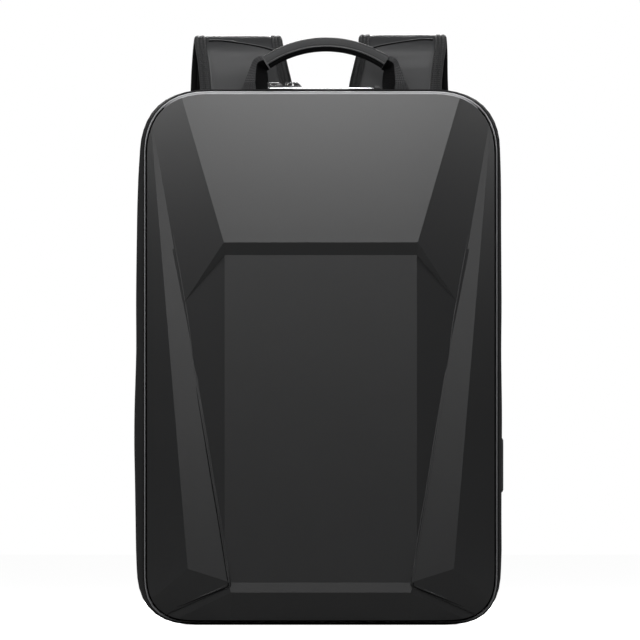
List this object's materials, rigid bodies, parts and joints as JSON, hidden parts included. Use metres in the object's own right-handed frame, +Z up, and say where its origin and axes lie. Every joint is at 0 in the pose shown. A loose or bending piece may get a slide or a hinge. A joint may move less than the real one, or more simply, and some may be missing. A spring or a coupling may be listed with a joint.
{
  "type": "hard shell backpack",
  "caption": "Hard shell backpack with a faceted moulded front, zipped fabric body, arched carry handle, metal zip plate and padded shoulder straps behind.",
  "frame": {"origin": "centre of the fabric body's flat bottom face, on which the pack stands", "axes": "+Z up along the pack's height, +X to the right seen from the front, the shell faces -Y and the shoulder straps lie at +Y"},
  "size_m": [0.3249, 0.2029, 0.5188],
  "materials": {
    "shell_film": "satin film over a moulded shell",
    "bead": "satin",
    "zip_tape": "woven tape with coil",
    "body_fabric": "coated woven cloth",
    "grip_leather": "smooth synthetic leather",
    "webbing": "ribbed webbing",
    "plate_metal": "polished",
    "black_plastic": "satin moulded",
    "port_rubber": "matt",
    "pad_mesh": "padded air mesh",
    "binding": "ribbed binding tape",
    "strap_fabric": "smooth padded cloth"
  },
  "bodies": {
    "root": {"front_shell": "shell_film", "rim_bead": "bead", "main_zip": "zip_tape", "main_body": "body_fabric", "handle_grip": "grip_leather", "handle_leg_left": "webbing", "handle_leg_right": "webbing", "zip_plate": "plate_metal", "plate_button": "black_plastic", "zip_puller_first": "plate_metal", "zip_puller_second": "plate_metal", "cable_port": "port_rubber", "back_pad_left": "pad_mesh", "back_pad_right": "pad_mesh", "strap_yoke": "binding", "shoulder_strap_left": "strap_fabric", "shoulder_strap_right": "strap_fabric", "buckle_tape_left": "webbing", "buckle_tape_right": "webbing", "buckle_left": "black_plastic", "buckle_right": "black_plastic", "lower_webbing_left": "webbing", "lower_webbing_right": "webbing", "anchor_tab_left": "binding", "anchor_tab_right": "binding"}
  },
  "joints": []
}
